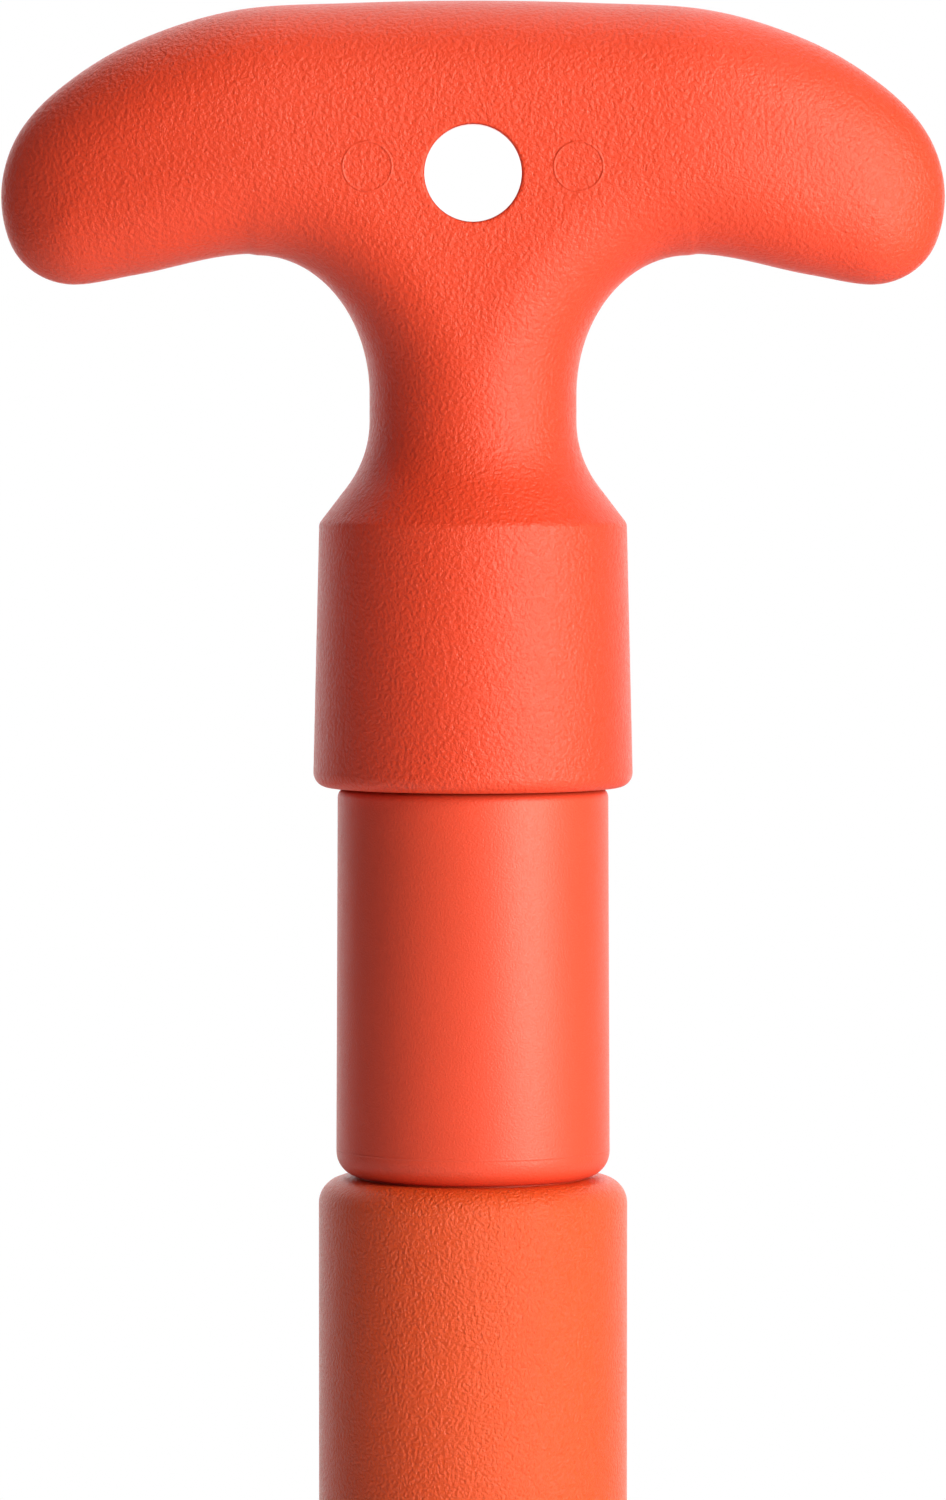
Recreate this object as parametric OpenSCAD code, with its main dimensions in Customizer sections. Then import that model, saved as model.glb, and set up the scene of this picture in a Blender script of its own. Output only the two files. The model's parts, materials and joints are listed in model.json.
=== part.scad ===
// Avalanche shovel: T-grip, twist-lock sleeve, two-piece telescopic shaft and scoop blade.
// Millimetres. +Z runs up the shaft to the grip, X is the width, the scoop faces -Y.
// The origin is the centre of the hang hole in the T-grip. The shaft is shown pushed in and locked.

/* [T-grip] */
// Width across both arms of the T-grip
grip_w = 120.2; // [112:0.1:130]
// Thickness of the arms, front to back
grip_t = 26; // [25:0.5:30]
// Radius of the hang hole
hang_r = 6.1; // [5:0.1:7]
// Radius of the neck under the arms
neck_r = 13.2; // [13:0.1:14]
// Radius of the collar at its lower end
collar_r = 20.4; // [20:0.1:21]

/* [Shaft] */
// Outer radius of the aluminium inner tube
inner_r = 12.5; // [12.4:0.1:12.5]
// Wall of the inner tube
inner_wall = 1.5; // [1.2:0.1:2]
// Outer radius of the lower tube
lower_r = 19.75; // [19.6:0.05:19.8]
// Bore radius of the lower tube
lower_bore_r = 16.4; // [16.3:0.1:16.5]
// Length of the lower tube
lower_len = 322; // [310:1:330]
// How far the shaft extends
travel = 150; // [100:5:150]

/* [Twist lock] */
// Outer radius of the twist sleeve
sleeve_r = 17.5; // [17.3:0.1:17.6]
// Length of the twist sleeve
sleeve_len = 49.8; // [49.5:0.1:51]
// Number of collet fingers
fingers = 6; // [4:2:6]

/* [Blade] */
// Greatest width of the blade
blade_w = 236; // [200:1:250]
// Length of the blade below its tread
blade_len = 244; // [220:1:250]
// Thickness of the blade sheet
blade_t = 3.2; // [2.8:0.1:4]
// How far the side walls stand forward at the tread
scoop_depth = 32; // [20:1:36]
// Radius of the two anchor holes
anchor_r = 4; // [3:0.5:4.5]

/* [Hidden] */
$fn = 96;
eps = 0.01;
orange = [0.93, 0.27, 0.13];
sleeve_orange = [0.90, 0.29, 0.18];
grey = [0.25, 0.25, 0.27];

// Heights down the shaft, from the hang hole
collar_top = -44.8;
collar_bot = -77.9;
tube_socket_top = -40;
tube_socket_len = 60;
// Countersunk-head screws: core, head, recess and hexagon
screw_r = 1.5;
head_r = 3;
head_t = 1.6;
recess_r = 3.2;
hex_r = 1.3;
hex_depth = 1;
sleeve_gap = 0.1;
sleeve_top = collar_bot - sleeve_gap;
sleeve_bot = sleeve_top - sleeve_len;
lower_top = sleeve_bot - sleeve_gap;
lower_bot = lower_top - lower_len;
ferrule_bot = lower_top - 40;
bush_top = ferrule_bot - travel - 2.2;
bush_len = 20;
bush_bot = bush_top - bush_len;

// Screw along +Z with its head's underside at a height
module screw(head_z, len) {
    difference() {
        union() {
            translate([0, 0, head_z + 0.2 - len]) cylinder(h = len, r = screw_r);
            translate([0, 0, head_z]) cylinder(h = head_t, r = head_r);
        }
        translate([0, 0, head_z + head_t - hex_depth]) cylinder(h = hex_depth + 1, r = hex_r, $fn = 6);
    }
}

// Points round part of a circle
function arc(x, y, r, from, to, steps) =
    [for (i = [0:steps]) let (a = from + (to - from) * i / steps) [x + r * cos(a), y + r * sin(a)]];

// ---------- T-grip ----------
arm_r = grip_w / 2;
crest_z = 22.2;
under_z = -10.1;
// Height of the arm's outline at every 15 degrees round it, from the crest over the tip to the underside
ARM_Z = [crest_z, 21.9, 21.0, 17.2, 11.5, 5.0, -2.7, -10.2, -13.75, -12.5, -10.0, under_z, under_z];
ARM_STEP = 15;
arm_square = 2.5;
// The arms thin down from taper_x outwards and round off over the last stretch
taper_x = 24;
taper = 0.00525;
tip_len = 14.1;
tip_start = arm_r - tip_len;
web_x = 27.5;
web_z = -27.8;
web_h = web_z - under_z;
web_w = web_x - neck_r;
web_end_z = -30;
edge_half = 0.4;
loop_steps = 22;
// Sections across each arm, closest where the web runs out and at the tip
ARM_X = [
    0, 4, 8, 11, 12.4, 13.6, 14.4, 15.6, 17.2, 19.4, 22, 25, 28.5, 33,
    38, 43, 47, 50.5, 53.5, 56, 58, 59.3, 59.95
];

// Cubic through evenly spaced heights, with mirrored ends
function arm_at(i) = ARM_Z[min(abs(i), 2 * (len(ARM_Z) - 1) - abs(i))];
function arm_z(angle) =
    let (s = angle / ARM_STEP, i = floor(s), f = s - i)
    let (a = arm_at(i - 1), b = arm_at(i), c = arm_at(i + 1), d = arm_at(i + 2))
    b + f * (c - a) / 2 + f * f * (a - 2.5 * b + 2 * c - d / 2) + f * f * f * (1.5 * (b - c) + (d - a) / 2);
function arm_top(x) = arm_z(asin(min(1, x / arm_r)));
function arm_low(x) = arm_z(180 - asin(min(1, x / arm_r)));
// Half-thickness along the arm
function arm_half(x) =
    let (thinner = taper * pow(max(0, x - taper_x), 2))
    let (tip = max(0, x - tip_start) / tip_len)
    (grip_t / 2 - thinner) * sqrt(max(0, 1 - tip * tip));
// Half-width of the neck and its fillets at a height
function neck_half(z) =
    z < web_z - 0.8 ? neck_r - 0.3
    : z < web_z ? neck_r
    : web_x - web_w * sqrt(max(0, 1 - pow(min(1, (z - web_z) / -web_h), 2)));
function web_low(x) =
    x <= neck_r ? web_end_z
    : x >= web_x ? under_z
    : web_z - web_h * sqrt(max(0, 1 - pow((web_x - x) / web_w, 2)));
function grip_low(x) = x < web_x ? web_low(x) : arm_low(x);
function bar_half(x, z) =
    let (mid = (arm_top(x) + arm_low(x)) / 2, tall = (arm_top(x) - arm_low(x)) / 2)
    let (q = min(1, abs(z - mid) / tall))
    arm_half(x) * pow(1 - pow(q, arm_square), 1 / arm_square);
function web_half(x, z) =
    z > (crest_z + under_z) / 2 ? 0
    : min(neck_r, z > web_z ? grip_t / 2 : neck_r) * sqrt(max(0, 1 - pow(x / neck_half(z), 2)));
function grip_half(x, z) = max(edge_half, bar_half(x, z), web_half(x, z));
// One closed loop of points round the arm at a distance from the middle
function grip_loop(sx, x) =
    let (top = arm_top(x), low = grip_low(x), mid = (top + low) / 2, tall = (top - low) / 2)
    let (heights = [for (i = [0:loop_steps]) mid + tall * cos(180 * i / loop_steps)])
    concat(
        [for (i = [0:loop_steps]) [sx * x, -grip_half(x, heights[i]), heights[i]]],
        [for (i = [loop_steps:-1:0]) [sx * x, grip_half(x, heights[i]), heights[i]]]
    );
// Skin over a list of loops, each a front line of points followed by the back line in reverse
module skin(loops) {
    n = len(loops[0]);
    m = len(loops);
    points = [for (loop = loops) each loop];
    sides = [for (j = [0:m - 2], i = [0:n - 1], half = [0, 1])
        let (a = j * n + i, b = j * n + (i + 1) % n)
        half == 0 ? [a + n, b, a] : [a + n, b + n, b]];
    first = [for (i = [0:n / 2 - 2], half = [0, 1])
        half == 0 ? [i, i + 1, n - 1 - i] : [i + 1, n - 2 - i, n - 1 - i]];
    last = [for (tri = first) [tri[2], tri[1], tri[0]] + (m - 1) * n * [1, 1, 1]];
    polyhedron(points = points, faces = concat(first, sides, last));
}
module grip_arms() {
    skin(concat(
        [for (i = [len(ARM_X) - 1:-1:1]) grip_loop(-1, ARM_X[i])],
        [for (x = ARM_X) grip_loop(1, x)]
    ));
}
// Neck, flare and collar as one turned shape
flare_z = -31.15;
flare_r = 13.8;
flare_turn = 37.4;
shoulder_r = 1.3;
foot_r = 1.9;
neck_top = -26;
hub_r = 15.4;
cup_r = 17.3;
cup_draft = 0.3;
cup_top = -50;
rib_t = 1.8;
rib_step = 45;
rib_len = 26;
GRIP_SCREW_Z = [-54, -68];
grip_head_y = 18.2;
grip_screw_len = 9.4;
module grip_neck_profile() {
    difference() {
        polygon(concat(
            [[0, neck_top], [neck_r, neck_top]],
            arc(neck_r + flare_r, flare_z, flare_r, 180, 180 + flare_turn, 6),
            arc(collar_r - 2.05, collar_top + 0.1, shoulder_r, flare_turn, 0, 3),
            arc(collar_r - foot_r, collar_bot + foot_r, foot_r, 0, -90, 5),
            [[0, collar_bot]]
        ));
        // Space between the outer skin and the hub that holds the inner tube
        polygon([[hub_r, collar_bot - 1], [cup_r, collar_bot - 1],
            [cup_r - cup_draft, cup_top], [hub_r, cup_top]]);
    }
}
module grip_screw_place() {
    for (z = GRIP_SCREW_Z) {
        translate([0, 0, z]) rotate([-90, 0, 0]) children();
    }
}
module t_grip() {
    color(orange) difference() {
        union() {
            grip_arms();
            rotate_extrude() grip_neck_profile();
            grip_ribs();
        }
        translate([0, 0, tube_socket_top - tube_socket_len]) cylinder(h = tube_socket_len, r = inner_r);
        rotate([90, 0, 0]) cylinder(h = 60, r = hang_r, center = true);
        grip_screw_place() translate([0, 0, 5]) cylinder(h = 30, r = screw_r);
        grip_screw_place() translate([0, 0, grip_head_y]) cylinder(h = 10, r = recess_r);
    }
}
// Ribs that tie the hub to the collar's skin
module grip_ribs() {
    for (a = [0:rib_step:359]) {
        rotate([0, 0, a]) translate([hub_r - 0.9, -rib_t / 2, collar_bot + 1.5]) cube([4, rib_t, rib_len]);
    }
}
module grip_screws() {
    color("silver") grip_screw_place() screw(grip_head_y, grip_screw_len);
}

// ---------- Inner tube and what it carries ----------
module inner_tube() {
    len = tube_socket_top - bush_bot;
    color("silver") difference() {
        translate([0, 0, bush_bot]) cylinder(h = len, r = inner_r);
        translate([0, 0, bush_bot - 1]) cylinder(h = len + 2, r = inner_r - inner_wall);
        grip_screw_place() translate([0, 0, 5]) cylinder(h = 20, r = screw_r);
        bush_pin_place() cylinder(h = 20, r = pin_r);
    }
}
key_w = 2.8;
key_r = lower_bore_r + 0.9;
keyway_r = lower_bore_r + 1.2;
o_ring_z = bush_top - 5;
o_ring_r = 0.82;
pin_r = 1.5;
pin_head_r = 2.2;
plug_wall = 2;
bush_r = lower_bore_r - 0.08;
module bush_pin_place() {
    for (a = [0, 180]) {
        rotate([0, 0, a]) translate([0, 0, bush_bot + 5]) rotate([0, 90, 0]) children();
    }
}
module slide_bush() {
    color(grey) difference() {
        union() {
            translate([0, 0, bush_bot]) cylinder(h = bush_len, r = bush_r);
            translate([-key_w / 2, bush_r - 1.5, bush_bot]) cube([key_w, key_r - bush_r + 1.5, bush_len]);
        }
        translate([0, 0, bush_bot - 1]) cylinder(h = bush_len + 2, r = inner_r);
        translate([0, 0, o_ring_z]) rotate_extrude() translate([14.6, -0.85]) square([1.8, 1.7]);
        bush_pin_place() cylinder(h = 20, r = pin_r);
    }
}
module bush_pins() {
    color("silver") bush_pin_place() union() {
        translate([0, 0, 10.2]) cylinder(h = 5.6, r = pin_r);
        translate([0, 0, 9.2]) cylinder(h = 1.0, r = pin_head_r);
    }
}
module bush_o_ring() {
    color(grey) translate([0, 0, o_ring_z]) rotate_extrude()
        translate([15.5, 0]) circle(r = o_ring_r, $fn = 24);
}
module bumper_ring() {
    color(grey) difference() {
        translate([0, 0, bush_top]) cylinder(h = 2, r = 15.6);
        translate([0, 0, bush_top - 1]) cylinder(h = 4, r = inner_r);
    }
}
module inner_tube_cap() {
    plug_r = inner_r - inner_wall;
    color(grey) difference() {
        union() {
            translate([0, 0, bush_bot]) cylinder(h = 12, r1 = plug_r, r2 = plug_r - 0.2);
            translate([0, 0, bush_bot - 2]) cylinder(h = 2, r1 = inner_r - 1, r2 = inner_r);
        }
        translate([0, 0, bush_bot]) cylinder(h = 13, r = plug_r - plug_wall);
        bush_pin_place() cylinder(h = 20, r = pin_head_r + 0.2);
    }
}

// ---------- Twist lock ----------
lock_bore_r = 15.9;
neck_bore_r = 14.6;
step_z = -110;
clip_z = -108.4;
clip_t = 1.2;
clip_r = 15.4;
clip_groove_r = 13.7;
ring_low = -98;
ring_high = -86.8;
cone_low_r = 14.45;
cone_high_r = 13.67;
cone_gap = 0.1;
slot_w = 1.6;
key_in_r = 13.05;
collet_r = inner_r + 0.06;
module lock_sleeve_profile() {
    edge = 1.2;
    nose = 3.3;
    top_r = sleeve_r - 0.2;
    nose_end = -acos((neck_bore_r - sleeve_r + nose) / nose);
    polygon(concat(
        [[neck_bore_r, step_z], [lock_bore_r, step_z], [lock_bore_r, sleeve_top]],
        arc(top_r - edge, sleeve_top - edge, edge, 90, 0, 5),
        arc(sleeve_r - nose, sleeve_bot + nose, nose, 0, nose_end, 8)
    ));
}
module lock_sleeve() {
    color(sleeve_orange) rotate_extrude() lock_sleeve_profile();
}
module wiper_ring() {
    color(sleeve_orange) rotate_extrude() polygon([[collet_r, sleeve_top - 2.6], [collet_r, sleeve_top - 2],
        [13.4, sleeve_top - 0.5], [lock_bore_r, sleeve_top - 0.5], [lock_bore_r, sleeve_top - 4.2],
        [14.4, sleeve_top - 4.2], [14.4, sleeve_top - 2.6]]);
}
module wedge_ring() {
    len = ring_high - ring_low;
    color("white") union() {
        difference() {
            translate([0, 0, ring_low]) cylinder(h = len, r = lock_bore_r - 0.1);
            translate([0, 0, ring_low])
                cylinder(h = len, r1 = cone_low_r + cone_gap, r2 = cone_high_r + cone_gap);
            translate([0, 0, ring_low - 1]) cylinder(h = 1.01, r = cone_low_r + cone_gap);
            translate([0, 0, ring_high - eps]) cylinder(h = 1, r = cone_high_r + cone_gap);
        }
        for (a = [0, 180]) {
            rotate([0, 0, a]) translate([key_in_r, -0.6, ring_low]) cube([1.8, 1.2, len]);
        }
    }
}
module retaining_clip() {
    color("silver") difference() {
        translate([0, 0, clip_z]) cylinder(h = clip_t, r = clip_r);
        translate([0, 0, clip_z - 1]) cylinder(h = clip_t + 2, r = clip_groove_r + 0.05);
        translate([0, 0, clip_z - 1]) rotate([0, 0, 60]) translate([0, -4, 0]) cube([20, 8, clip_t + 2]);
    }
}
module thrust_washer() {
    color("silver") difference() {
        translate([0, 0, step_z + 0.1]) cylinder(h = clip_z - step_z - 0.15, r = lock_bore_r - 0.15);
        translate([0, 0, step_z - 1]) cylinder(h = 5, r = neck_bore_r);
    }
}
FERRULE_SCREW_DROP = [14, 30];
ferrule_screw_turn = 40;
ferrule_screw_len = 4.6;
ferrule_head_r = 17.6;
module ferrule_screw_place() {
    for (drop = FERRULE_SCREW_DROP) {
        translate([0, 0, lower_top - drop]) rotate([-90, 0, ferrule_screw_turn]) children();
    }
}
finger_top = sleeve_top - 6;
module shaft_ferrule() {
    finger_len = finger_top - ring_low;
    cone_slope = (cone_low_r - cone_high_r) / (ring_high - ring_low);
    color(sleeve_orange) difference() {
        union() {
            translate([0, 0, ring_low])
                cylinder(h = finger_len, r1 = cone_low_r, r2 = cone_low_r - finger_len * cone_slope);
            translate([0, 0, lower_top - 0.4])
                cylinder(h = ring_low - lower_top + 0.4, r = neck_bore_r - 0.1);
            translate([0, 0, ferrule_bot]) cylinder(h = lower_top - 0.4 - ferrule_bot, r = lower_bore_r);
            translate([-key_w / 2, 14, ferrule_bot]) cube([key_w, key_r - 14, lower_top - 6.2 - ferrule_bot]);
        }
        translate([0, 0, ferrule_bot - 1]) cylinder(h = 100, r = collet_r);
        for (a = [0:360 / fingers:179]) {
            rotate([0, 0, a]) translate([-20, -slot_w / 2, -105]) cube([40, slot_w, 40]);
        }
        translate([0, 0, clip_z]) difference() {
            cylinder(h = clip_t + 0.2, r = 20);
            translate([0, 0, -1]) cylinder(h = clip_t + 3, r = clip_groove_r);
        }
        ferrule_screw_place() cylinder(h = 30, r = screw_r);
    }
}
module ferrule_screws() {
    color("silver") ferrule_screw_place() screw(ferrule_head_r, ferrule_screw_len);
}

// ---------- Lower tube ----------
button_z = -400;
button_r = 4;
module lower_tube_profile() {
    edge = lower_r - 0.3 - lower_bore_r;
    polygon(concat(
        arc(lower_bore_r, lower_top - edge, edge, 90, 0, 8),
        [[lower_r, lower_top - 28], [lower_r, lower_bot + 1]],
        [[lower_r - 1, lower_bot], [lower_bore_r, lower_bot]]
    ));
}
module lower_tube() {
    color(orange) difference() {
        rotate_extrude() lower_tube_profile();
        translate([-key_w / 2 - 0.2, 10, lower_bot - 1]) cube([key_w + 0.4, keyway_r - 10, lower_len - 5]);
        ferrule_screw_place() cylinder(h = 30, r = screw_r);
        ferrule_screw_place() translate([0, 0, ferrule_head_r]) cylinder(h = 10, r = recess_r);
        translate([0, 0, button_z]) rotate([90, 0, 0]) cylinder(h = 30, r = button_r + 0.15);
    }
}
module tube_end_plug() {
    color(grey) difference() {
        union() {
            translate([0, 0, lower_bot - 2]) cylinder(h = 2, r = lower_r - 0.4);
            translate([0, 0, lower_bot]) cylinder(h = 14, r = lower_bore_r - 0.02);
        }
        translate([0, 0, lower_bot]) cylinder(h = 15, r = lower_bore_r - 2.4);
    }
}
button_front = -24.7;
button_foot_r = 5.6;
module release_button() {
    color("silver") translate([0, 0, button_z]) rotate([90, 0, 0]) union() {
        translate([0, 0, 14.2]) cylinder(h = -button_front - 15.2, r = button_r);
        translate([0, 0, -button_front - 1]) cylinder(h = 1, r1 = button_r, r2 = button_r - 0.9);
        translate([0, 0, 13]) cylinder(h = 1.7, r = button_foot_r);
    }
}
// V-shaped leaf of strip steel: one leg behind the button, the other on the bore's far wall
spring_t = 0.8;
spring_w = 7;
bend_y = 1.5;
bend_z = -34;
bend_r = 2.4;
module button_spring() {
    leg_y = -12.95;
    wall_y = lower_bore_r - 0.5;
    color("silver") translate([-spring_w / 2, 0, button_z]) rotate([90, 0, 90]) linear_extrude(spring_w)
        polygon(concat(
            [[leg_y + spring_t, 7], [leg_y, 7], [leg_y, -7]],
            arc(bend_y, bend_z, bend_r, 180, 360, 10),
            [[wall_y, 7], [wall_y - spring_t, 7]],
            arc(bend_y, bend_z, bend_r - spring_t, 360, 180, 8),
            [[leg_y + spring_t, -7]]
        ));
}

// ---------- Blade ----------
socket_top = button_z + 22;
socket_bore_r = lower_r + 0.1;
socket_r = socket_bore_r + 3.5;
socket_seat = lower_bot - 2.3;
nose_z = socket_seat - 96;
tread_z = lower_bot + 4;
tread_r = 7;
tread_depth = 11;
top_corner = 24;
low_corner = 46;
wall_from = 0.6;
groove_x = 41;
groove_half = 9;
groove_depth = 2.6;
// Share of the length that the cutting edge rises towards the sides
edge_bow = 0.07;
ROWS = concat([0.012, 0.03, 0.055, 0.085, 0.12], [for (i = [1:9]) 0.12 + i * 0.075]);
COLUMNS = 28;
corner_rows = 5;
anchor_x = 66;
anchor_z = tread_z - 27;
anchor_boss_r = 8;
anchor_boss_t = 8;
gusset_t = 4;
gusset_r = 50;
nose_wall = 12;

// Middle surface of the blade: s runs from the tread (0) to the cutting edge (1), q across (-1 to 1)
function blade_lean(s) = 6 - 30 * pow(s, 1.6);
function wall_depth(s) = 10 + (scoop_depth - 10) * pow(1 - s, 1.2);
function wall_rise(q) = pow(max(0, (abs(q) - wall_from) / (1 - wall_from)), 2);
function side_half(s) = blade_w / 2 - 8 + 8 * sin(180 * pow(s, 0.8));
function groove(x) = pow(max(0, 1 - pow((abs(x) - groove_x) / groove_half, 2)), 2);
function groove_run(s) = max(0, 1 - pow((s - 0.52) / 0.4, 4));
// Width left by the round corners at a row
function corner_cut(s) =
    s < top_corner / blade_len
        ? top_corner - sqrt(top_corner * top_corner - pow(top_corner - s * blade_len, 2))
    : s > 1 - low_corner / blade_len
        ? low_corner - sqrt(max(0, low_corner * low_corner - pow(s * blade_len - blade_len + low_corner, 2)))
    : 0;
function blade_mid(s, q) =
    let (sc = max(0, min(1, s)), x = q * (side_half(sc) - corner_cut(sc)))
    let (share = x / (blade_w / 2), drop = blade_len * sc * (1 - edge_bow * share * share))
    let (y = blade_lean(sc) - wall_depth(sc) * wall_rise(share) + groove_depth * groove(x) * groove_run(sc))
    [x, y, tread_z - drop];
// The tread rolls back from the top edge, less towards the side walls
function tread_mid(a, q) =
    let (p = blade_mid(0, q), back = tread_r * (1 - cos(min(a, 90))) + max(0, a - 90) / 90 * tread_depth)
    let (fade = 1 - 0.96 * pow(max(0, abs(q) - 0.35) / 0.65, 2))
    [p[0], p[1] + back * fade, p[2] + tread_r * sin(min(a, 90)) * fade];
function sheet_mid(u, q) = u < 0 ? tread_mid(-u, q) : blade_mid(u, q);
function unit(v) = v / norm(v);
function sheet_normal(u, q) =
    let (du = u < 0 ? 2 : 0.004, ahead = u < 0 && u > -du ? 0 : du, behind = u < 0 ? 0 : du)
    let (along = sheet_mid(u + ahead, q) - sheet_mid(u - behind, q))
    let (across = sheet_mid(u, min(1, q + 0.01)) - sheet_mid(u, max(-1, q - 0.01)))
    unit(cross(across, along));
TREAD_ROWS = [for (a = [135, 90, 68, 45, 22]) -a];
CORNER_ROWS = [for (i = [1:corner_rows])
    1 - low_corner / blade_len * (1 - sin(90 * i / corner_rows) * 0.9985)];
SHEET_ROWS = concat(TREAD_ROWS, [0.002], ROWS, CORNER_ROWS);
function sheet_point(u, q, side) = sheet_mid(u, q) + side * blade_t / 2 * sheet_normal(u, q);
function sheet_loop(u) = concat(
    [for (i = [0:COLUMNS]) sheet_point(u, 2 * i / COLUMNS - 1, 1)],
    [for (i = [COLUMNS:-1:0]) sheet_point(u, 2 * i / COLUMNS - 1, -1)]
);
module blade_sheet() {
    skin([for (u = SHEET_ROWS) sheet_loop(u)]);
}
module blade_socket_profile() {
    polygon([[0, socket_top], [socket_r - 1.5, socket_top], [socket_r, socket_top - 1.5],
        [socket_r + 0.4, socket_seat], [6, nose_z], [0, nose_z]]);
}
// Web between the socket and the tread
module socket_gusset(side) {
    translate([0, blade_lean(0) + gusset_t / 2, 0]) rotate([90, 0, 0]) linear_extrude(gusset_t) difference() {
        polygon([[side * 21, tread_z + 40], [side * 21, tread_z], [side * 62, tread_z]]);
        translate([side * 74, tread_z + 54]) circle(r = gusset_r);
    }
}
module anchor_boss() {
    for (side = [-1, 1]) {
        translate([side * anchor_x, blade_lean(0.11), anchor_z]) rotate([90, 0, 0]) children();
    }
}
module blade() {
    color(orange) difference() {
        union() {
            blade_sheet();
            rotate_extrude() blade_socket_profile();
            socket_gusset(-1);
            socket_gusset(1);
            anchor_boss() cylinder(h = anchor_boss_t, r = anchor_boss_r, center = true);
        }
        translate([0, 0, socket_seat]) cylinder(h = 100, r = socket_bore_r);
        translate([0, 0, nose_z + nose_wall])
            cylinder(h = socket_seat - nose_z - nose_wall + 0.1, r1 = 3.5, r2 = socket_bore_r - 2.35);
        translate([0, 0, button_z]) rotate([90, 0, 0]) cylinder(h = 40, r = button_r + 0.3);
        anchor_boss() cylinder(h = 40, r = anchor_r, center = true);
    }
}

t_grip();
grip_screws();
inner_tube();
slide_bush();
bush_pins();
bush_o_ring();
bumper_ring();
inner_tube_cap();
lock_sleeve();
wiper_ring();
wedge_ring();
retaining_clip();
thrust_washer();
shaft_ferrule();
ferrule_screws();
lower_tube();
tube_end_plug();
release_button();
button_spring();
blade();
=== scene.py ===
import json
import math

import bmesh
import bpy
import numpy as np
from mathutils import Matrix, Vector


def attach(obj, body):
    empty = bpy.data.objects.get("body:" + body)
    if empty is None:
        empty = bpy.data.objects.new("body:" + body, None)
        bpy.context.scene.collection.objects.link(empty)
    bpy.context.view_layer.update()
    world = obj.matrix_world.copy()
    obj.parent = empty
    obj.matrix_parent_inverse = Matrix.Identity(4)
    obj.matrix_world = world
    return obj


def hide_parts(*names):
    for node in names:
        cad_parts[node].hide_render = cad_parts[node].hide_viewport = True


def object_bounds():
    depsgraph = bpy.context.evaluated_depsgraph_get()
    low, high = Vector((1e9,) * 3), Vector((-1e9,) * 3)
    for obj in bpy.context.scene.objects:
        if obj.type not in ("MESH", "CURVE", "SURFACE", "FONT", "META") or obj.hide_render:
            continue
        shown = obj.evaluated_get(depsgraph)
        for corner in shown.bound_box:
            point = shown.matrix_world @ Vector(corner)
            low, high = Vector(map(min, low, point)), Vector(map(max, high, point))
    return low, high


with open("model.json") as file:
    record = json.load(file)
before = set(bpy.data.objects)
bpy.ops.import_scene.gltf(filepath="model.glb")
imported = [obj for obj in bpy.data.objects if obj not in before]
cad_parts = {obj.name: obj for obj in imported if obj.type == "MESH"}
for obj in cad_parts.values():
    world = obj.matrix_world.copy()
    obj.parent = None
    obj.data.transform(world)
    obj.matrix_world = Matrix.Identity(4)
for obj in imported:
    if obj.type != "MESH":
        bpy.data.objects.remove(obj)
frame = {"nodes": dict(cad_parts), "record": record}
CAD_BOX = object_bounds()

MM = 0.001
GRIP_STEP = 0.45
BLADE_STEP = 1.0
TURN = 288

# ---------------------------------------------------------------- helpers


def mesh_piece(name, verts, faces, body, replaced):
    """A new piece from points in millimetres; it rides on a body and stands for its CAD nodes."""
    mesh = bpy.data.meshes.new(name)
    mesh.from_pydata([tuple(c * MM for c in v) for v in verts], [], faces)
    mesh.validate()
    piece = bpy.data.objects.new(name, mesh)
    bpy.context.scene.collection.objects.link(piece)
    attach(piece, body)
    for node in replaced:
        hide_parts(node)
    return piece


def shade(piece, angle=32):
    """Smooth shading, with edges sharper than the angle kept crisp."""
    mesh = piece.data
    mesh.polygons.foreach_set("use_smooth", [True] * len(mesh.polygons))
    mesh.set_sharp_from_angle(angle=math.radians(angle))
    mesh.update()


def tidy_normals(piece):
    """Joins points that coincide and turns every face outward."""
    bm = bmesh.new()
    bm.from_mesh(piece.data)
    bmesh.ops.remove_doubles(bm, verts=bm.verts, dist=1e-6)
    bmesh.ops.recalc_face_normals(bm, faces=bm.faces)
    bm.to_mesh(piece.data)
    bm.free()


def arc(x, y, r, start, end, steps):
    """Points round part of a circle; angles in degrees."""
    angles = np.radians(np.linspace(start, end, steps + 1))
    return [(x + r * math.cos(a), y + r * math.sin(a)) for a in angles]


def turned(profile, steps=TURN):
    """Closed profile of (radius, height) turned round Z."""
    verts = []
    faces = []
    n = len(profile)
    for i in range(steps):
        a = 2 * math.pi * i / steps
        verts += [(r * math.cos(a), r * math.sin(a), z) for r, z in profile]
    for i in range(steps):
        j = (i + 1) % steps
        for k in range(n):
            m = (k + 1) % n
            faces.append((i * n + k, j * n + k, j * n + m, i * n + m))
    return verts, faces


def rod(centre, direction, rings, steps=96):
    """Cutting tool, in millimetres: a round bar along a direction through rings of (distance, radius)."""
    axis = Vector(direction).normalized()
    side = axis.orthogonal().normalized()
    up = axis.cross(side)
    verts = []
    faces = []
    for at, r in rings:
        for i in range(steps):
            a = 2 * math.pi * i / steps
            p = Vector(centre) + axis * at + side * (r * math.cos(a)) + up * (r * math.sin(a))
            verts.append(tuple(p))
    for k in range(len(rings) - 1):
        for i in range(steps):
            j = (i + 1) % steps
            faces.append((k * steps + i, k * steps + j, (k + 1) * steps + j, (k + 1) * steps + i))
    faces.append(tuple(range(steps - 1, -1, -1)))
    last = (len(rings) - 1) * steps
    faces.append(tuple(range(last, last + steps)))
    return verts, faces


def box_tool(low, high):
    """Cutting tool: a box between two corners."""
    corners = [(x, y, z) for z in (low[2], high[2]) for y in (low[1], high[1]) for x in (low[0], high[0])]
    faces = [(0, 2, 3, 1), (4, 5, 7, 6), (0, 1, 5, 4), (2, 6, 7, 3), (0, 4, 6, 2), (1, 3, 7, 5)]
    return corners, faces


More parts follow.
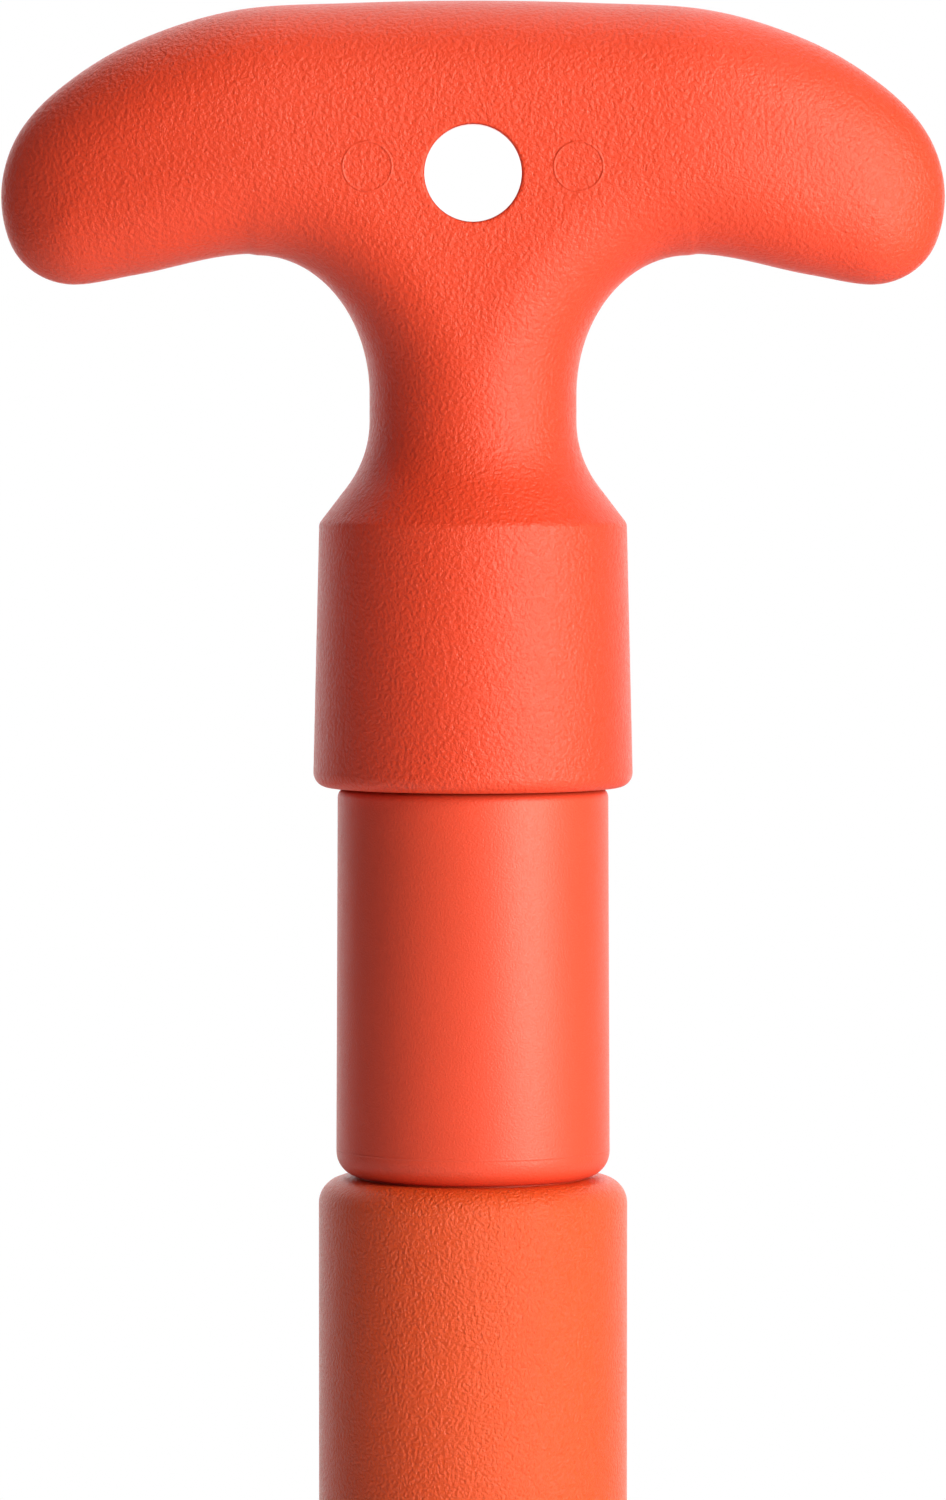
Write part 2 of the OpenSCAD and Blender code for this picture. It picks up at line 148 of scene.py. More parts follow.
def cut(piece, tools):
    """Takes closed tools, in millimetres, out of a piece."""
    for verts, faces in tools:
        mesh = bpy.data.meshes.new("tool")
        mesh.from_pydata([tuple(c * MM for c in v) for v in verts], [], faces)
        tool = bpy.data.objects.new("tool", mesh)
        bpy.context.scene.collection.objects.link(tool)
        tidy_normals(tool)
        change = piece.modifiers.new("cut", "BOOLEAN")
        change.operation = "DIFFERENCE"
        change.solver = "EXACT"
        change.object = tool
        bpy.context.view_layer.update()
        graph = bpy.context.evaluated_depsgraph_get()
        result = bpy.data.meshes.new_from_object(piece.evaluated_get(graph))
        piece.modifiers.remove(change)
        old = piece.data
        piece.data = result
        bpy.data.meshes.remove(old)
        bpy.data.objects.remove(tool)
        bpy.data.meshes.remove(mesh)


# ---------------------------------------------------------------- smooth solids from a field
# A field is negative inside. Its surface is meshed as quads, then pulled onto the zero level.

# A cell's corners, and its edges as pairs of corners
CORNERS = np.array([(x, y, z) for z in (0, 1) for y in (0, 1) for x in (0, 1)])
EDGES = [(0, 1), (2, 3), (4, 5), (6, 7), (0, 2), (1, 3), (4, 6), (5, 7), (0, 4), (1, 5), (2, 6), (3, 7)]


def field_gradient(field, p):
    """Slope of the field at each point, by small steps both ways."""
    h = 0.02
    out = np.empty_like(p)
    for axis in range(3):
        d = np.zeros(3)
        d[axis] = h
        a = p + d
        b = p - d
        out[:, axis] = (field(a[:, 0], a[:, 1], a[:, 2]) - field(b[:, 0], b[:, 1], b[:, 2])) / (2 * h)
    return out


def pull_to_surface(field, p, times=5, reach=0.4):
    """Newton steps onto the zero level, none longer than the reach."""
    for _ in range(times):
        f = field(p[:, 0], p[:, 1], p[:, 2])
        g = field_gradient(field, p)
        size = np.maximum((g * g).sum(1), 1e-6)
        move = -(f / size)[:, None] * g
        length = np.maximum(np.linalg.norm(move, axis=1), 1e-9)
        p = p + move * np.minimum(1, reach / length)[:, None]
    return p


def surface_net(field, low, high, step):
    """Points and quads of a field's zero surface inside a box."""
    xs, ys, zs = (np.arange(lo, hi + step, step) for lo, hi in zip(low, high))
    values = np.empty((len(xs), len(ys), len(zs)), dtype=np.float32)
    for k, z in enumerate(zs):
        gx, gy = np.meshgrid(xs, ys, indexing="ij")
        values[:, :, k] = field(gx.ravel(), gy.ravel(), np.full(gx.size, z)).reshape(gx.shape)
    inside = values < 0
    cells = []
    for cx, cy, cz in CORNERS:
        cells.append(inside[cx:len(xs) - 1 + cx, cy:len(ys) - 1 + cy, cz:len(zs) - 1 + cz])
    count = sum(c.astype(np.int8) for c in cells)
    ix, iy, iz = np.nonzero((count > 0) & (count < 8))
    number = np.full(count.shape, -1, dtype=np.int64)
    number[ix, iy, iz] = np.arange(len(ix))
    total = np.zeros((len(ix), 3))
    hits = np.zeros(len(ix))
    for a, b in EDGES:
        ca, cb = CORNERS[a], CORNERS[b]
        va = values[ix + ca[0], iy + ca[1], iz + ca[2]]
        vb = values[ix + cb[0], iy + cb[1], iz + cb[2]]
        crosses = (va < 0) != (vb < 0)
        t = np.where(crosses, va / np.where(crosses, va - vb, 1), 0)
        total += np.where(crosses[:, None], ca + t[:, None] * (cb - ca), 0)
        hits += crosses
    points = (np.stack([ix, iy, iz], 1) + total / hits[:, None]) * step + np.array([xs[0], ys[0], zs[0]])
    quads = []
    for axis in range(3):
        u, v = [(1, 2), (2, 0), (0, 1)][axis]
        n = [len(xs), len(ys), len(zs)]
        first = [slice(None)] * 3
        second = [slice(None)] * 3
        first[axis] = slice(0, n[axis] - 1)
        second[axis] = slice(1, n[axis])
        a = inside[tuple(first)]
        b = inside[tuple(second)]
        at = np.stack(np.nonzero(a != b), 1)
        at = at[(at[:, u] > 0) & (at[:, u] < n[u] - 1) & (at[:, v] > 0) & (at[:, v] < n[v] - 1)]
        outward = a[at[:, 0], at[:, 1], at[:, 2]]
        ring = []
        for du, dv in ((-1, -1), (0, -1), (0, 0), (-1, 0)):
            c = at.copy()
            c[:, u] += du
            c[:, v] += dv
            ring.append(number[c[:, 0], c[:, 1], c[:, 2]])
        quad = np.stack(ring, 1)
        quad[~outward] = quad[~outward][:, ::-1]
        quads.append(quad)
    return points, np.concatenate(quads)


class DepthMap:
    """How far points of a front view lie inside an outline (right half given), from a table made once."""

    def __init__(self, outline, low_z, high_z, step):
        self.step = step
        self.xs = np.arange(0, outline[:, 0].max() + 3, step)
        self.zs = np.arange(low_z, high_z, step)
        grid_x, grid_z = (g.ravel() for g in np.meshgrid(self.xs, self.zs, indexing="ij"))
        self.table = self.exact(outline, grid_x, grid_z).reshape(len(self.xs), len(self.zs))

    def exact(self, outline, x, z):
        """Distance to the outline, positive inside, by crossings along X."""
        best = np.full(x.shape, 1e9)
        crossings = np.zeros(x.shape, dtype=int)
        for p, q in zip(outline[:-1], outline[1:]):
            d = q - p
            length = max(d @ d, 1e-12)
            t = np.clip(((x - p[0]) * d[0] + (z - p[1]) * d[1]) / length, 0, 1)
            best = np.minimum(best, (x - p[0] - t * d[0]) ** 2 + (z - p[1] - t * d[1]) ** 2)
            spans = (p[1] > z) != (q[1] > z)
            at = p[0] + (z - p[1]) * d[0] / (d[1] if d[1] != 0 else 1)
            crossings += spans & (x < at)
        return np.sqrt(best) * np.where(crossings % 2 == 1, 1, -1)

    def at(self, x, z):
        """Value between the table's entries."""
        u = np.clip(np.abs(x) / self.step, 0, len(self.xs) - 1.001)
        v = np.clip((z - self.zs[0]) / self.step, 0, len(self.zs) - 1.001)
        i = u.astype(int)
        j = v.astype(int)
        u = u - i
        v = v - j
        low = self.table[i, j] * (1 - u) + self.table[i + 1, j] * u
        high = self.table[i, j + 1] * (1 - u) + self.table[i + 1, j + 1] * u
        return low * (1 - v) + high * v


# ---------------------------------------------------------------- T-grip

ARM_R = 60.1
CREST = 22.2
UNDER = -10.1
# Height of the arm's outline at every 15 degrees round it, from the crest over the tip to the underside
ARM_Z = [CREST, 21.9, 21.0, 17.2, 11.5, 5.0, -2.7, -10.2, -13.75, -12.5, -10.0, UNDER, UNDER]
WEB_X = 27.5
WEB_Z = -27.8
NECK_R = 13.2
GRIP_HALF = 13.0
TAPER_X = 24
TAPER = 0.00525
HANG_R = 6.1
JOIN_Z = -30.8
COLLAR_TOP = -44.8
COLLAR_BOT = -77.9
COLLAR_FLARE = (-31.15, 13.8, 37.4)  # height of the arc's centre, its radius and the degrees it turns
COLLAR_SHOULDER_R = 1.3
COLLAR_FOOT_R = 1.9
COLLAR_R = 20.4
# The hang hole's rounded lip, as (distance out from the hole, distance from the grip's middle)
LIP = [(1.2, 14.2), (0.35, 13.0), (0.16, 12.9), (0.04, 12.75), (0, 12.5)]
SCREW_Z = (-54, -68)
SCREW_SEAT_Y = 18.2
RECESS_R = 3.2
GRIP_ROLL = 12.4
ARM_POWER = 2.45


def arm_height(angle):
    """Cubic through the evenly spaced heights, mirrored at both ends."""
    last = len(ARM_Z) - 1
    s = angle / 15
    i = math.floor(s)
    f = s - i

    def at(k):
        k = abs(k)
        return ARM_Z[min(k, 2 * last - k)]

    a, b, c, d = at(i - 1), at(i), at(i + 1), at(i + 2)
    bend = a - 2.5 * b + 2 * c - d / 2
    twist = 1.5 * (b - c) + (d - a) / 2
    return b + f * (c - a) / 2 + f * f * bend + f ** 3 * twist


def grip_outline():
    """Right half of the front outline: crest, tip, underside, fillet and neck."""
    points = []
    for angle in np.arange(0, 180.1, 1.5):
        x = ARM_R * math.sin(math.radians(angle))
        if angle > 90 and x < WEB_X:
            break
        points.append((x, arm_height(angle)))
    tall = UNDER - WEB_Z
    wide = WEB_X - NECK_R
    for angle in np.arange(90, -0.1, -2.5):
        a = math.radians(angle)
        points.append((WEB_X - wide * math.cos(a), WEB_Z + tall * math.sin(a)))
    points.append((NECK_R, JOIN_Z - 8))
    return np.array(points)


GRIP_DEPTH = DepthMap(np.vstack([[0, CREST], grip_outline()]), JOIN_Z - 3, CREST + 3, 0.25)


def smooth_step(low, high, value):
    t = np.clip((value - low) / (high - low), 0, 1)
    return t * t * (3 - 2 * t)


def grip_field(x, y, z):
    """Rounded solid over the front outline: full and squarish in the arms, round in the neck."""
    neck = 1 - smooth_step(-27, -8, z)
    power = ARM_POWER - (ARM_POWER - 2) * neck
    roll = GRIP_ROLL + (NECK_R - GRIP_ROLL) * neck
    half = GRIP_HALF + (NECK_R - GRIP_HALF) * neck - TAPER * np.maximum(0, np.abs(x) - TAPER_X) ** 2
    side = np.maximum(roll - GRIP_DEPTH.at(x, z), 0) / roll
    front = np.abs(y) / half
    solid = ((side ** power + front ** power + 1e-12) ** (1 / power) - 1) * half
    round_neck = np.sqrt(x * x + y * y) - NECK_R
    blend = np.clip((-26.5 - z) / 2.5, 0, 1)
    return solid * (1 - blend) + round_neck * blend


def collar_profile():
    """(radius, height) from the neck down over the collar, its cup and the tube socket."""
    flare_z, flare_r, flare_turn = COLLAR_FLARE
    flare = arc(NECK_R + flare_r, flare_z, flare_r, 180, 180 + flare_turn, 14)
    shoulder = arc(18.35, COLLAR_TOP + 0.1, COLLAR_SHOULDER_R, flare_turn, 0, 8)
    foot = arc(COLLAR_R - COLLAR_FOOT_R, COLLAR_BOT + COLLAR_FOOT_R, COLLAR_FOOT_R, 0, -90, 9)
    cup = [(17.3, COLLAR_BOT), (17.0, -50), (15.4, -50), (15.4, COLLAR_BOT)]
    socket = [(12.5, COLLAR_BOT), (12.5, -40)]
    return flare + shoulder + foot + cup + socket


def open_loop(quads):
    """The points round a mesh's one open end, in order."""
    edges = {}
    for q in quads:
        for a, b in zip(q, np.roll(q, -1)):
            edges[(int(a), int(b))] = True
    loop_next = {a: b for a, b in edges if (b, a) not in edges}
    start = next(iter(loop_next))
    loop = [start]
    while loop_next[loop[-1]] != start:
        loop.append(loop_next[loop[-1]])
    return loop


def grip_tools():
    """The hang hole with its rounded lips, and the two screw recesses in the collar's back."""
    lip = [(20 - y, HANG_R + dr) for dr, y in LIP]
    far = [(40 - at, r) for at, r in reversed(lip)]
    tools = [rod((0, -20, 0), (0, 1, 0), lip + far, steps=160)]
    for z in SCREW_Z:
        tools.append(rod((0, SCREW_SEAT_Y, z), (0, 1, 0), [(0, RECESS_R), (6, RECESS_R)], steps=64))
    return tools


def build_grip():
    low = (-62, -15.5, JOIN_Z - 0.35 * GRIP_STEP)
    high = (62, 15.5, 24)
    points, quads = surface_net(grip_field, low, high, GRIP_STEP)
    points = pull_to_surface(grip_field, points)
    loop = open_loop(quads)
    ring = points[loop]
    angles = np.arctan2(ring[:, 1], ring[:, 0])
    points[loop] = np.stack([NECK_R * np.cos(angles), NECK_R * np.sin(angles), np.full(len(loop), JOIN_Z)], 1)
    verts = [tuple(p) for p in points]
    faces = [tuple(int(i) for i in q) for q in quads]
    above = list(loop)
    for radius, height in collar_profile():
        here = list(range(len(verts), len(verts) + len(loop)))
        verts += [(radius * math.cos(a), radius * math.sin(a), height) for a in angles]
        for i in range(len(loop)):
            j = (i + 1) % len(loop)
            faces.append((above[j], above[i], here[i], here[j]))
        above = here
    faces.append(tuple(reversed(above)))
    grip = mesh_piece("grip_moulding", verts, faces, "upper_shaft", ["t_grip"])
    tidy_normals(grip)
    cut(grip, grip_tools())
    return grip


# ---------------------------------------------------------------- sleeve and lower tube

PART_GAP = 0.1
SLEEVE_TOP = COLLAR_BOT - PART_GAP
SLEEVE_BOT = SLEEVE_TOP - 49.8
SLEEVE_TOP_R = 17.3
SLEEVE_R = 17.5
SLEEVE_BORE = 15.9
SLEEVE_NECK = 14.6
SLEEVE_STEP_Z = -110
TUBE_TOP = SLEEVE_BOT - PART_GAP
TUBE_BOT = TUBE_TOP - 322
TUBE_R = 19.75
TUBE_BORE = 16.4
TUBE_LIP_R = 14.6
FERRULE_SCREW_DROP = (14, 30)
FERRULE_SCREW_TURN = math.radians(40)
SCREW_SEAT_R = 17.6
BUTTON_Z = -400.0


def build_sleeve():
    edge = 1.2
    foot = 3.3
    profile = arc(SLEEVE_TOP_R - edge, SLEEVE_TOP - edge, edge, 90, 0, 8)
    profile += arc(SLEEVE_R - foot, SLEEVE_BOT + foot, foot, 0, -83, 14)
    profile += [(SLEEVE_NECK, SLEEVE_BOT + 0.03), (SLEEVE_NECK, SLEEVE_STEP_Z)]
    profile += [(SLEEVE_BORE, SLEEVE_STEP_Z), (SLEEVE_BORE, SLEEVE_TOP)]
    verts, faces = turned(profile)
    sleeve = mesh_piece("sleeve_barrel", verts, faces, "twist_sleeve", ["lock_sleeve"])
    tidy_normals(sleeve)
    return sleeve


def build_lower_tube():
    rim = 3.3
    lip_t = 0.35
    profile = [(TUBE_LIP_R, TUBE_TOP - lip_t), (TUBE_LIP_R, TUBE_TOP)]
    profile += arc(TUBE_R - rim, TUBE_TOP - rim, rim, 90, 0, 12)
    profile += [(TUBE_R, TUBE_TOP - 28), (TUBE_R, TUBE_BOT + 1), (TUBE_R - 1, TUBE_BOT)]
    profile += [(TUBE_BORE, TUBE_BOT), (TUBE_BORE, TUBE_TOP - lip_t)]
    verts, faces = turned(profile)
    tube = mesh_piece("shaft_tube", verts, faces, "lower_shaft", ["lower_tube"])
    tidy_normals(tube)
    back = (-math.sin(FERRULE_SCREW_TURN), math.cos(FERRULE_SCREW_TURN), 0)
    keyway = box_tool((-1.6, 10, TUBE_BOT - 1), (1.6, 17.6, TUBE_TOP - 6))
    tools = [keyway]
    for drop in FERRULE_SCREW_DROP:
        z = TUBE_TOP - drop
        for start, r, steps in ((SCREW_SEAT_R, RECESS_R, 64), (14, 1.55, 48)):
            tools.append(rod((back[0] * start, back[1] * start, z), back, [(0, r), (6, r)], steps=steps))
    tools.append(rod((0, -10, BUTTON_Z), (0, -1, 0), [(0, 4.15), (14, 4.15)], steps=64))
    cut(tube, tools)
    return tube


# ---------------------------------------------------------------- blade

BLADE_HALF = 118.0
BLADE_LEN = 244.0
SHEET = 3.2
SHEET_EDGE = 1.3
SCOOP = 32.0
TREAD_Z = -445.9
TREAD_R = 7.0
TREAD_FLAT = 5.5
TOP_CORNER = 24.0
LOW_CORNER = 46.0
EDGE_BOW = 0.07
SIDE_BULGE = 8
SOCKET_TOP = -378.0
SOCKET_SEAT = -452.2
SOCKET_R = 23.35
SOCKET_BORE = 19.85
NOSE_Z = SOCKET_SEAT - 96
ANCHOR_X = 66.0
ANCHOR_Z = TREAD_Z - 27
ANCHOR_R = 4


def smooth_min(a, b, k):
    """The smaller value, blended over k millimetres where the two are close."""
    h = np.clip(0.5 + 0.5 * (b - a) / k, 0, 1)
    return b * (1 - h) + a * h - k * h * (1 - h)


def smooth_max(a, b, k):
    return -smooth_min(-a, -b, k)


def along_blade(x, z):
    """0 at the tread, 1 at the cutting edge, which bows upward towards the sides."""
    return (TREAD_Z - z) / (BLADE_LEN * (1 - EDGE_BOW * (x / BLADE_HALF) ** 2))


def blade_y(x, z):
    """Middle of the sheet: it leans forward, with side walls and two pressed grooves."""
    s = np.clip(along_blade(x, z), 0, 1)
    rise = np.maximum(0, (np.abs(x) / BLADE_HALF - 0.6) / 0.4) ** 2
    wall = 10 + (SCOOP - 10) * (1 - s) ** 1.2
    groove = np.maximum(0, 1 - ((np.abs(x) - 41) / 9) ** 2) ** 2
    run = np.maximum(0, 1 - ((s - 0.52) / 0.4) ** 4)
    return 6 - 30 * s ** 1.6 - wall * rise + 2.6 * groove * run


def blade_outline():
    """Right half of the blade's edge, from the tread round both corners to the cutting edge's middle."""
    points = []
    corner = 1 - LOW_CORNER / BLADE_LEN
    rows = list(np.linspace(0, TOP_CORNER / BLADE_LEN, 14) ** 2 * BLADE_LEN / TOP_CORNER)
    rows += list(np.linspace(TOP_CORNER / BLADE_LEN, corner, 40))[1:]
    rows += [corner + (1 - corner) * math.sin(a) for a in np.linspace(0, math.pi / 2, 24)][1:]
    for s in rows:
        width = BLADE_HALF - SIDE_BULGE + SIDE_BULGE * math.sin(math.pi * s ** 0.8)
        if s * BLADE_LEN < TOP_CORNER:
            width -= TOP_CORNER - math.sqrt(TOP_CORNER ** 2 - (TOP_CORNER - s * BLADE_LEN) ** 2)
        elif s > corner:
            down = s * BLADE_LEN - BLADE_LEN + LOW_CORNER
            width -= LOW_CORNER - math.sqrt(max(0, LOW_CORNER ** 2 - down ** 2))
        points.append((width, TREAD_Z - BLADE_LEN * s * (1 - EDGE_BOW * (width / BLADE_HALF) ** 2)))
    edge = points[-1][0]
    for x in np.linspace(edge, 0, 24)[1:]:
        points.append((x, TREAD_Z - BLADE_LEN * (1 - EDGE_BOW * (x / BLADE_HALF) ** 2)))
    return np.array([(0, TREAD_Z + 1.5), (60, TREAD_Z + 1.5)] + points)


BLADE_DEPTH = DepthMap(blade_outline(), TREAD_Z - BLADE_LEN - 4, TREAD_Z + 4, 0.5)


def rounded_edge(a, b, r):
    """Inside where both a and b are negative, with the edge between them rounded."""
    outer = np.sqrt(np.maximum(a + r, 0) ** 2 + np.maximum(b + r, 0) ** 2)
    return outer + np.minimum(np.maximum(a + r, b + r), 0) - r


def sheet_field(x, y, z):
    """The scoop's sheet: its own thickness about the middle surface, rounded at the edge."""
    h = 0.3
    slope_x = (blade_y(x + h, z) - blade_y(x - h, z)) / (2 * h)
    slope_z = (blade_y(x, z + h) - blade_y(x, z - h)) / (2 * h)
    slope = np.sqrt(1 + slope_x ** 2 + slope_z ** 2)
    through = np.abs(y - blade_y(x, z)) / slope - SHEET / 2
    return rounded_edge(through, -BLADE_DEPTH.at(x, z) * np.sqrt(slope), SHEET_EDGE)


def tread_field(x, y, z):
    """The top edge rolls back into a foot rest that fades towards the side walls."""
    reach = BLADE_HALF - SIDE_BULGE - TOP_CORNER
    size = 1 - 0.96 * (np.maximum(0, np.abs(x) / reach - 0.35) / 0.65) ** 2
    size = np.maximum(size, 0.04)
    roll = TREAD_R * size
    centre = blade_y(x, np.full_like(x, TREAD_Z)) + roll
    up = z - TREAD_Z + 1.9 * (np.abs(x) / reach) ** 8
    bend = np.abs(np.sqrt((y - centre) ** 2 + up ** 2) - roll)
    past = np.maximum(0, y - centre - TREAD_FLAT * size)
    flat = np.sqrt((up - roll) ** 2 + past ** 2)
    distance = np.where(y < centre, np.where(up > 0, bend, 1e3), flat)
    return rounded_edge(distance - SHEET / 2, np.abs(x) - reach, SHEET_EDGE)


def socket_field(x, y, z):
    """The barrel that takes the lower tube, tapering into the sheet at the nose."""
    r = np.sqrt(x * x + y * y)
    barrel = r - SOCKET_R - 0.4 * np.clip((SOCKET_TOP - z) / 74, 0, 1)
    cone = (r - 6 - (SOCKET_R - 5.6) * (z - NOSE_Z) / 96) * 0.984
    side = smooth_max(barrel, cone, 6)
    body = smooth_max(side, z - SOCKET_TOP, 2.4)
    return smooth_max(body, NOSE_Z - z, 5)


def gusset_field(x, y, z):
    """The two webs between the socket and the tread."""
    ax = np.abs(x)
    slope = (40 * (ax - 21) + 41 * (z - TREAD_Z - 40)) / math.hypot(40, 41)
    bite = 50 - np.sqrt((ax - 74) ** 2 + (z - TREAD_Z - 54) ** 2)
    front = smooth_max(np.maximum(slope, bite), np.maximum(18 - ax, TREAD_Z - z), 1)
    return smooth_max(front, np.abs(y - 6) - 2, 1.5)


def boss_field(x, y, z):
    """The thick rings round the anchor holes."""
    ring = np.sqrt((np.abs(x) - ANCHOR_X) ** 2 + (z - ANCHOR_Z) ** 2) - 8
    middle = blade_y(np.full_like(x, ANCHOR_X), np.full_like(z, ANCHOR_Z))
    return smooth_max(ring, np.abs(y - middle) - 4, 1.2)


def blade_field(x, y, z):
    body = np.minimum(sheet_field(x, y, z), tread_field(x, y, z))
    body = smooth_min(body, boss_field(x, y, z), 2)
    body = smooth_min(body, gusset_field(x, y, z), 4)
    return smooth_min(body, socket_field(x, y, z), 5)


def build_blade():
    low = (-BLADE_HALF - 3, -44, TREAD_Z - BLADE_LEN - 3)
    high = (BLADE_HALF + 3, 28, SOCKET_TOP + 3)
    points, quads = surface_net(blade_field, low, high, BLADE_STEP)
    points = pull_to_surface(blade_field, points, times=6, reach=0.5)
    faces = [tuple(int(i) for i in q) for q in quads]
    blade = mesh_piece("scoop_blade", points, faces, "lower_shaft", ["blade"])
    tidy_normals(blade)
    boss_y = float(blade_y(np.array([ANCHOR_X]), np.array([ANCHOR_Z]))[0])
    tools = [
        rod((0, 0, SOCKET_SEAT), (0, 0, 1), [(0, SOCKET_BORE), (100, SOCKET_BORE)], steps=144),
        rod((0, 0, NOSE_Z + 12), (0, 0, 1), [(0, 3.5), (84.1, 17.5)], steps=96),
        rod((0, 0, BUTTON_Z), (0, -1, 0), [(0, 4.3), (40, 4.3)], steps=72),
    ]
    for side in (-1, 1):
        start = (side * ANCHOR_X, boss_y - 20, ANCHOR_Z)
        tools.append(rod(start, (0, 1, 0), [(0, ANCHOR_R), (40, ANCHOR_R)], steps=72))
    cut(blade, tools)
    return blade


# ---------------------------------------------------------------- materials


def material(name):
    """A node material, its node tree, its shader and the object coordinates that patterns lie on."""
    m = bpy.data.materials.new(name)
    m.use_nodes = True
    tree = m.node_tree
    tree.nodes.clear()
    out = tree.nodes.new("ShaderNodeOutputMaterial")
    shader = tree.nodes.new("ShaderNodeBsdfPrincipled")
    tree.links.new(shader.outputs["BSDF"], out.inputs["Surface"])
    place = tree.nodes.new("ShaderNodeTexCoord")
    return m, tree, shader, place.outputs["Object"]


def noise(tree, place, scale, detail=2.0, rough=0.5, stretch=None):
    node = tree.nodes.new("ShaderNodeTexNoise")
    node.inputs["Scale"].default_value = scale
    node.inputs["Detail"].default_value = detail
    node.inputs["Roughness"].default_value = rough
    source = place
    if stretch:
        mapping = tree.nodes.new("ShaderNodeMapping")
        mapping.inputs["Scale"].default_value = stretch
        tree.links.new(place, mapping.inputs["Vector"])
        source = mapping.outputs["Vector"]
    tree.links.new(source, node.inputs["Vector"])
    return node.outputs["Fac"]


def ramp(tree, value, stops):
    node = tree.nodes.new("ShaderNodeValToRGB")
    while len(node.color_ramp.elements) < len(stops):
        node.color_ramp.elements.new(0.5)
    for element, (at, colour) in zip(node.color_ramp.elements, stops):
        element.position = at
        element.color = (*colour, 1)
    tree.links.new(value, node.inputs["Fac"])
    return node.outputs["Color"]


def remap(tree, value, low, high, new_low, new_high):
    node = tree.nodes.new("ShaderNodeMapRange")
    node.inputs["From Min"].default_value = low
    node.inputs["From Max"].default_value = high
    node.inputs["To Min"].default_value = new_low
    node.inputs["To Max"].default_value = new_high
    tree.links.new(value, node.inputs["Value"])
    return node.outputs["Result"]


def bump(tree, shader, layers):
    """Stacks bump layers of (height, distance in metres, strength)."""
    below = None
    for height, distance, strength in layers:
        node = tree.nodes.new("ShaderNodeBump")
        node.inputs["Distance"].default_value = distance
        node.inputs["Strength"].default_value = strength
        tree.links.new(height, node.inputs["Height"])
        if below is not None:
            tree.links.new(below, node.inputs["Normal"])
        below = node.outputs["Normal"]
    tree.links.new(below, shader.inputs["Normal"])


def ring_mark(tree, place, centre, radius, width):
    """1 on a thin circle in the front view, on both sides of the middle; fades out over its width."""
    split = tree.nodes.new("ShaderNodeSeparateXYZ")
    tree.links.new(place, split.inputs["Vector"])
    side = maths(tree, "ABSOLUTE", split.outputs["X"])
    across = maths(tree, "SUBTRACT", side, centre[0])
    up = maths(tree, "SUBTRACT", split.outputs["Z"], centre[1])
    squares = [maths(tree, "POWER", across, 2), maths(tree, "POWER", up, 2)]
    away = maths(tree, "SQRT", maths(tree, "ADD", *squares))
    off = maths(tree, "ABSOLUTE", maths(tree, "SUBTRACT", away, radius))
    return remap(tree, off, 0, width, 1, 0)


def line_mark(tree, place, axis, at, width):
    """1 on the plane where an axis has a given value; fades out over its width."""
    split = tree.nodes.new("ShaderNodeSeparateXYZ")
    tree.links.new(place, split.inputs["Vector"])
    off = maths(tree, "ABSOLUTE", maths(tree, "SUBTRACT", split.outputs[axis], at))
    return remap(tree, off, 0, width, 1, 0)


def maths(tree, operation, first, second=None):
    node = tree.nodes.new("ShaderNodeMath")
    node.operation = operation
    tree.links.new(first, node.inputs[0])
    if second is None:
        return node.outputs["Value"]
    if isinstance(second, (int, float)):
        node.inputs[1].default_value = second
    else:
        tree.links.new(second, node.inputs[1])
    return node.outputs["Value"]


def orange_plastic(name, colour, rough, grain, grain_height, fine_height, marks=(), bore=None):
    """Moulded polypropylene with a sparked texture: grain is the pebbles' number per metre.

    A bore along Y, where the mould's polished core pin stood, is smooth and glossy.
    """
    m, tree, shader, place = material(name)
    cloud = noise(tree, place, 28, 3)
    darker = tuple(c * 0.94 for c in colour)
    tree.links.new(ramp(tree, cloud, [(0.3, darker), (0.7, colour)]), shader.inputs["Base Color"])
    pebbles = noise(tree, place, grain, 2.0, 0.5)
    fine = noise(tree, place, grain * 3.1, 2.0, 0.6)
    roughness = remap(tree, pebbles, 0.3, 0.7, rough - 0.06, rough + 0.08)
    if bore is not None:
        split = tree.nodes.new("ShaderNodeSeparateXYZ")
        tree.links.new(place, split.inputs["Vector"])
        sides = [maths(tree, "ABSOLUTE", split.outputs[axis]) for axis in ("X", "Z")]
        away = maths(tree, "SQRT", maths(tree, "ADD", *[maths(tree, "POWER", side, 2) for side in sides]))
        roughness = maths(tree, "MULTIPLY", roughness, remap(tree, away, bore, bore + 0.0001, 0.2, 1))
        outside = remap(tree, away, bore, bore + 0.0001, 0, 1)
        pebbles = maths(tree, "MULTIPLY", pebbles, outside)
        fine = maths(tree, "MULTIPLY", fine, outside)
    tree.links.new(roughness, shader.inputs["Roughness"])
    layers = [(pebbles, grain_height, 1.0), (fine, fine_height, 1.0)]
    for kind, args, height in marks:
        layers.append((kind(tree, place, *args), height, 1.0))
    bump(tree, shader, layers)
    shader.inputs["Subsurface Weight"].default_value = 0.06
    shader.inputs["Subsurface Radius"].default_value = (1.0, 0.25, 0.1)
    shader.inputs["Subsurface Scale"].default_value = 0.003
    shader.inputs["IOR"].default_value = 1.49
    return m


def metal(name, colour, rough, along=(1, 1, 0.02), scale=4000):
    m, tree, shader, place = material(name)
    brushed = noise(tree, place, scale, 3, 0.6, stretch=along)
    darker = tuple(c * 0.86 for c in colour)
    tree.links.new(ramp(tree, brushed, [(0.3, darker), (0.7, colour)]), shader.inputs["Base Color"])
    tree.links.new(remap(tree, brushed, 0.3, 0.7, rough - 0.06, rough + 0.08), shader.inputs["Roughness"])
    bump(tree, shader, [(brushed, 0.00002, 0.5)])
    shader.inputs["Metallic"].default_value = 1.0
    return m


